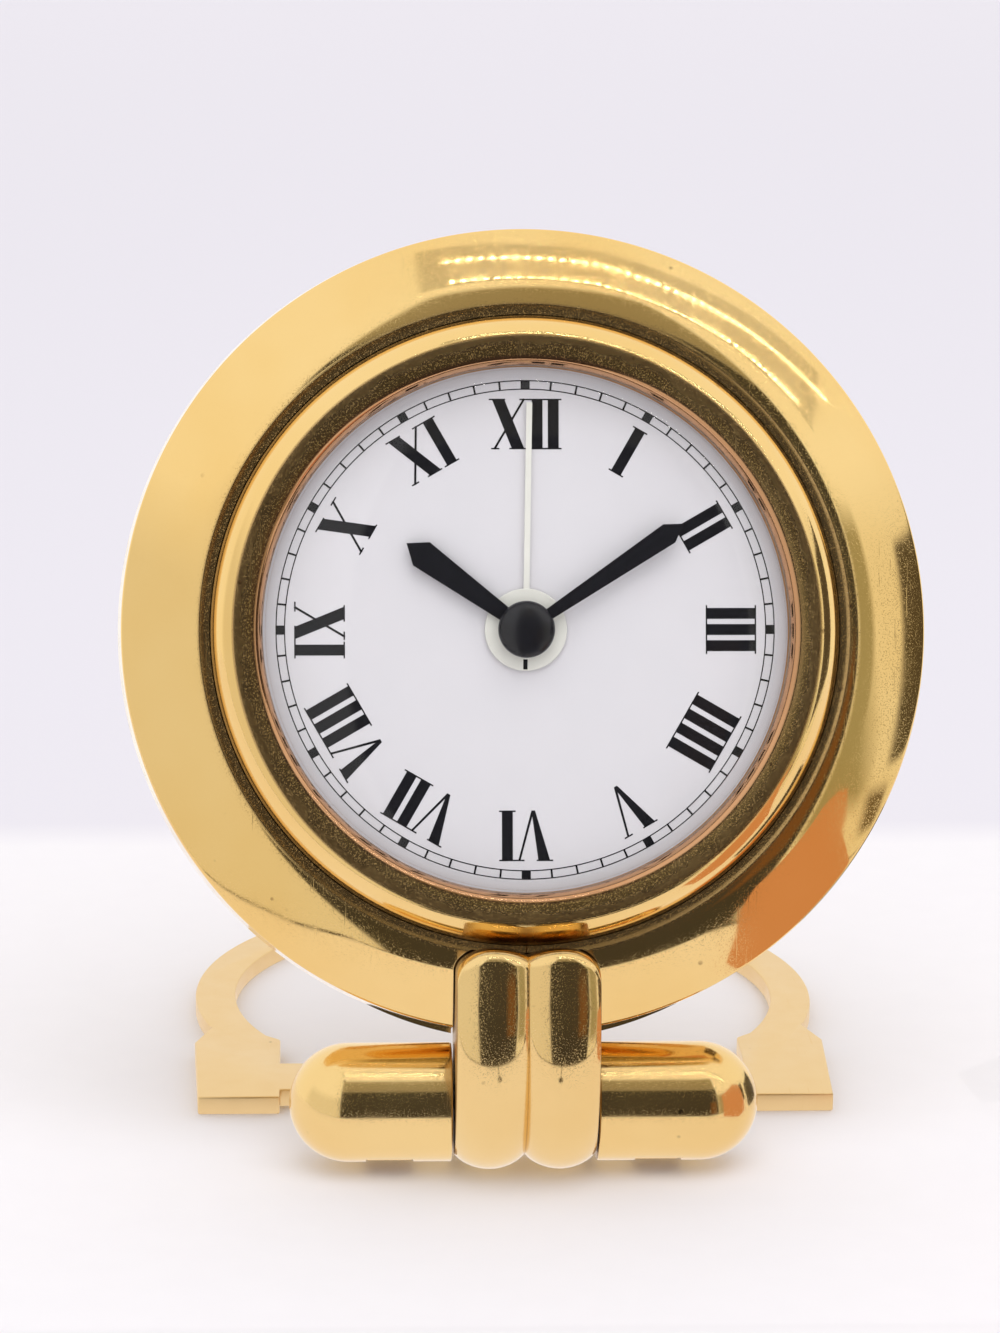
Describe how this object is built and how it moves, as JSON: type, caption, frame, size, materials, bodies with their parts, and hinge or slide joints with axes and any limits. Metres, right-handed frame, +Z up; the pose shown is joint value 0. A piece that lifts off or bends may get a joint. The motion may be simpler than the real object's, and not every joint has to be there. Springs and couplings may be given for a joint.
{
  "type": "travel clock",
  "caption": "Round analogue travel alarm clock with a domed gold ring case that folds down on an arch-shaped stand through a round-ended hinge bar.",
  "frame": {"origin": "centre of the footprint's bounding box, on the table plane", "axes": "+Z up, -Y towards the viewer of the dial, +X to the viewer's right"},
  "size_m": [0.065, 0.0732, 0.0725],
  "materials": {
    "stand_gold": "polished gold plate, worn",
    "bracket_gold": "polished gold plate, pitted",
    "case_gold": "polished gold plate",
    "back_gold": "satin gold plate",
    "steel": "machined",
    "crystal": "clear, domed",
    "seal_rubber": "matte",
    "reflector_copper": "satin copper",
    "dial_enamel": "satin white enamel",
    "pale_plastic": "moulded",
    "dark_plastic": "moulded",
    "movement_brass": "machined",
    "coil_copper": "wound wire",
    "circuit": "lacquered board",
    "black_paint": "gloss black",
    "cream_paint": "cream paint"
  },
  "bodies": {
    "stand": {"arch_stand": "stand_gold", "left_capsule": "stand_gold", "right_capsule": "stand_gold", "hinge_axle": "steel", "left_friction_washer": "steel", "right_friction_washer": "steel", "left_set_screw": "steel", "right_set_screw": "steel"},
    "case": {"case_ring": "case_gold", "bezel": "case_gold", "crystal": "crystal", "crystal_gasket": "seal_rubber", "reflector_ring": "reflector_copper", "dial": "dial_enamel", "knot_bracket": "bracket_gold", "left_bracket_screw": "steel", "right_bracket_screw": "steel", "movement_holder": "pale_plastic", "main_plate": "pale_plastic", "movement_cover": "pale_plastic", "movement_screw_1": "steel", "movement_screw_2": "steel", "movement_screw_3": "steel", "motor_gearbox": "dark_plastic", "motor_coil": "coil_copper", "stator": "steel", "circuit_board": "circuit", "quartz_can": "steel", "buzzer_disc": "movement_brass", "battery_cell": "steel", "battery_centre_contact": "movement_brass", "battery_side_contact": "movement_brass", "alarm_contact_spring": "movement_brass", "case_back": "back_gold", "back_gasket": "seal_rubber", "back_screw_1": "steel", "back_screw_2": "steel", "back_screw_3": "steel", "back_screw_4": "steel"},
    "minute_arbor": {"centre_wheel": "movement_brass", "minute_hand": "black_paint", "hand_cap": "black_paint"},
    "hour_pipe": {"hour_wheel": "movement_brass", "hour_hand": "black_paint"},
    "alarm_pipe": {"alarm_wheel": "pale_plastic", "alarm_hand": "cream_paint"},
    "motion_wheel": {"minute_wheel": "movement_brass"},
    "drive": {"drive_pinion": "movement_brass"},
    "time_setter": {"time_knob": "dark_plastic"},
    "alarm_setter": {"alarm_knob": "dark_plastic"},
    "alarm_slider": {"alarm_switch": "dark_plastic"},
    "hatch": {"battery_hatch": "back_gold", "hatch_seal": "seal_rubber"}
  },
  "joints": [
    {"name": "case_fold", "type": "hinge", "parent": "stand", "child": "case", "pos_m": [0, -0.02818, 0.0053], "axis": [-1, 0, 0], "range_deg": [0, 74.2]},
    {"name": "minute_spin", "type": "hinge", "parent": "case", "child": "minute_arbor", "pos_m": [0, -0.01792, 0.04154], "axis": [0, 0.9622, -0.2723], "continuous": true},
    {"name": "hour_spin", "type": "hinge", "parent": "case", "child": "hour_pipe", "pos_m": [0, -0.01792, 0.04154], "axis": [0, 0.9622, -0.2723], "continuous": true},
    {"name": "minute_wheel_spin", "type": "hinge", "parent": "case", "child": "motion_wheel", "pos_m": [0, -0.01629, 0.04731], "axis": [0, 0.9622, -0.2723], "continuous": true},
    {"name": "drive_pinion_spin", "type": "hinge", "parent": "case", "child": "drive", "pos_m": [0.004, -0.01792, 0.04154], "axis": [0, 0.9622, -0.2723], "continuous": true},
    {"name": "time_knob_spin", "type": "hinge", "parent": "case", "child": "time_setter", "pos_m": [0.00446, -0.0152, 0.05117], "axis": [0, 0.9622, -0.2723], "continuous": true},
    {"name": "alarm_spin", "type": "hinge", "parent": "case", "child": "alarm_pipe", "pos_m": [0, -0.01792, 0.04154], "axis": [0, 0.9622, -0.2723], "continuous": true},
    {"name": "alarm_knob_spin", "type": "hinge", "parent": "case", "child": "alarm_setter", "pos_m": [-0.00761, -0.01725, 0.04392], "axis": [0, 0.9622, -0.2723], "continuous": true},
    {"name": "alarm_switch_slide", "type": "slide", "parent": "case", "child": "alarm_slider", "axis": [0, 0.2723, 0.9622], "range_m": [0, 0.003]},
    {"name": "battery_hatch_turn", "type": "hinge", "parent": "case", "child": "hatch", "pos_m": [0, -0.02062, 0.03201], "axis": [0, 0.9622, -0.2723], "range_deg": [0, 60]}
  ],
  "couplings": [
    {"joint": "hour_spin", "follows": "minute_spin", "ratio": 0.083333},
    {"joint": "minute_wheel_spin", "follows": "minute_spin", "ratio": -0.33333},
    {"joint": "drive_pinion_spin", "follows": "minute_spin", "ratio": -4},
    {"joint": "time_knob_spin", "follows": "minute_spin", "ratio": 1},
    {"joint": "alarm_knob_spin", "follows": "alarm_spin", "ratio": -3}
  ]
}
